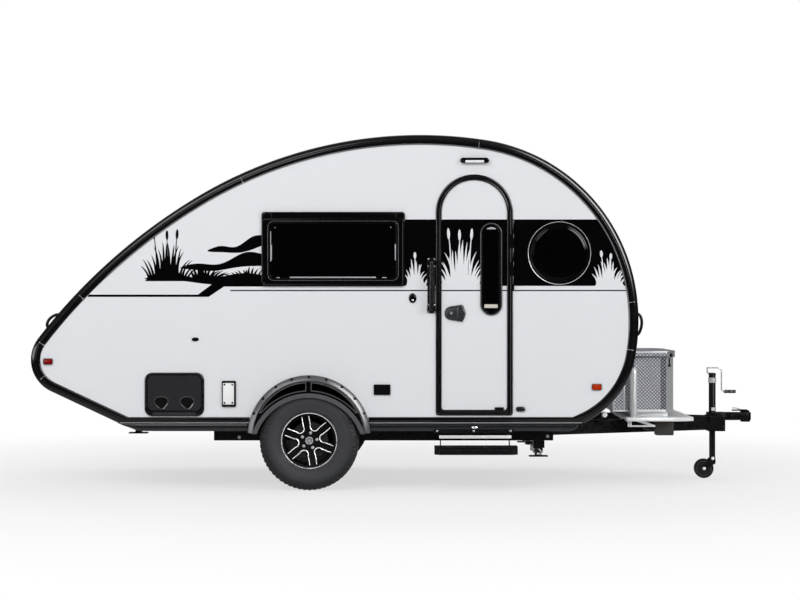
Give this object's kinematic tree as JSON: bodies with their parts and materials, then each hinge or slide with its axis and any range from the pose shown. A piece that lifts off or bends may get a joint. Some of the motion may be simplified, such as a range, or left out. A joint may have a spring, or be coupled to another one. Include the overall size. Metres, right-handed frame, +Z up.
{
  "type": "teardrop trailer",
  "caption": "Teardrop travel trailer with a hinged side door, tongue box and deck, single axle, A-frame drawbar, caster jack, stabilisers and fold-out step.",
  "frame": {"origin": "on the ground under the middle of the trailer's bounding box", "axes": "+X forward to the coupler, +Y left, +Z up; the door is on the right, -Y"},
  "size_m": [5.4949, 2.21, 2.669],
  "materials": {
    "white_panel": "gloss",
    "black_trim": "gloss",
    "grey_skirt": "satin",
    "underbody": "matte",
    "dark_glass": "polished",
    "black_plastic": "satin",
    "chassis_black": "satin",
    "tyre": "matte",
    "rim": "machined and painted",
    "drum": "rough",
    "plate": "bright tread plate",
    "bright_steel": "satin",
    "white_plastic": "gloss",
    "red_lens": "gloss",
    "amber_lens": "gloss",
    "clear_lens": "gloss"
  },
  "bodies": {
    "trailer": {"side_wall_right": "white_panel", "side_wall_left": "white_panel", "roof_panel": "white_panel", "front_panel": "white_panel", "rear_panel": "white_panel", "floor_panel": "underbody", "wheel_wells": "underbody", "edge_trim": "black_trim", "side_skirts": "grey_skirt", "window_frames": "black_trim", "window_panes": "dark_glass", "front_window": "dark_glass", "rear_window": "dark_glass", "roof_vent_base": "white_plastic", "door_frame": "black_trim", "axle_beam": "chassis_black", "trailing_arms": "chassis_black", "fenders": "black_plastic", "chassis_rails": "chassis_black", "crossmembers": "chassis_black", "drawbar_right": "chassis_black", "drawbar_left": "chassis_black", "coupler": "chassis_black", "jack_tube": "chassis_black", "jack_crank": "bright_steel", "stabiliser_mounts": "chassis_black", "step_bracket": "chassis_black", "tongue_box": "plate", "cargo_deck": "plate", "deck_brackets": "plate", "equipment_box": "black_plastic", "side_vents": "black_plastic", "front_lamps": "amber_lens", "rear_lamps": "red_lens", "porch_light": "clear_lens", "grab_handles": "black_plastic", "assist_handle": "black_plastic", "plate_holder": "black_plastic"},
    "wheel_right": {"tyre_right": "tyre", "rim_right": "rim", "hub_right": "drum"},
    "wheel_left": {"tyre_left": "tyre", "rim_left": "rim", "hub_left": "drum"},
    "jack_leg": {"jack_leg": "chassis_black"},
    "caster": {"caster_fork": "chassis_black"},
    "caster_wheel": {"caster_wheel": "black_plastic"},
    "door": {"door_leaf": "white_panel", "door_mouldings": "black_trim", "door_window": "dark_glass", "door_handle": "black_plastic"},
    "box_lid": {"box_lid": "plate"},
    "vent_lid": {"roof_vent_lid": "white_plastic"},
    "stabiliser_front_right": {"stabiliser_front_right": "chassis_black"},
    "stabiliser_front_left": {"stabiliser_front_left": "chassis_black"},
    "stabiliser_rear_right": {"stabiliser_rear_right": "chassis_black"},
    "stabiliser_rear_left": {"stabiliser_rear_left": "chassis_black"},
    "step_arms": {"step_arms": "chassis_black"},
    "step_tread": {"step_tread": "black_plastic"}
  },
  "joints": [
    {"name": "wheel_right_spin", "type": "hinge", "parent": "trailer", "child": "wheel_right", "pos_m": [-0.686, -0.975, 0.3665], "axis": [0, 1, 0], "continuous": true},
    {"name": "wheel_left_spin", "type": "hinge", "parent": "trailer", "child": "wheel_left", "pos_m": [-0.686, 0.975, 0.3665], "axis": [0, 1, 0], "continuous": true},
    {"name": "jack_slide", "type": "slide", "parent": "trailer", "child": "jack_leg", "axis": [0, 0, 1], "range_m": [0, 0.2]},
    {"name": "caster_swivel", "type": "hinge", "parent": "jack_leg", "child": "caster", "pos_m": [2.443, 0, 0.16], "axis": [0, 0, 1], "continuous": true},
    {"name": "caster_spin", "type": "hinge", "parent": "caster", "child": "caster_wheel", "pos_m": [2.375, 0, 0.076], "axis": [0, 1, 0], "continuous": true},
    {"name": "door_hinge", "type": "hinge", "parent": "trailer", "child": "door", "pos_m": [0.81775, -1.0205, 1.7], "axis": [0, 0, 1], "range_deg": [0, 165]},
    {"name": "box_lid_hinge", "type": "hinge", "parent": "trailer", "child": "box_lid", "pos_m": [1.766, 0, 0.983], "axis": [0, -1, 0], "range_deg": [0, 70]},
    {"name": "vent_lid_hinge", "type": "hinge", "parent": "trailer", "child": "vent_lid", "pos_m": [0.283, 0, 2.64], "axis": [0, 1, 0], "range_deg": [0, 70]},
    {"name": "stabiliser_front_right_hinge", "type": "hinge", "parent": "trailer", "child": "stabiliser_front_right", "pos_m": [1.02, -0.33, 0.252], "axis": [1, 0, 0], "range_deg": [0, 26]},
    {"name": "stabiliser_front_left_hinge", "type": "hinge", "parent": "trailer", "child": "stabiliser_front_left", "pos_m": [1.02, 0.33, 0.252], "axis": [-1, 0, 0], "range_deg": [0, 26]},
    {"name": "stabiliser_rear_right_hinge", "type": "hinge", "parent": "trailer", "child": "stabiliser_rear_right", "pos_m": [-1.98, -0.33, 0.426], "axis": [1, 0, 0], "range_deg": [0, 50]},
    {"name": "stabiliser_rear_left_hinge", "type": "hinge", "parent": "trailer", "child": "stabiliser_rear_left", "pos_m": [-1.98, 0.33, 0.426], "axis": [-1, 0, 0], "range_deg": [0, 50]},
    {"name": "step_fold", "type": "hinge", "parent": "trailer", "child": "step_arms", "pos_m": [0.536, -0.925, 0.397], "axis": [1, 0, 0], "range_deg": [0, 86]},
    {"name": "step_level", "type": "hinge", "parent": "step_arms", "child": "step_tread", "pos_m": [0.536, -0.992, 0.306], "axis": [1, 0, 0], "range_deg": [-86, 0]}
  ],
  "couplings": [
    {"joint": "step_level", "follows": "step_fold", "ratio": -1}
  ]
}
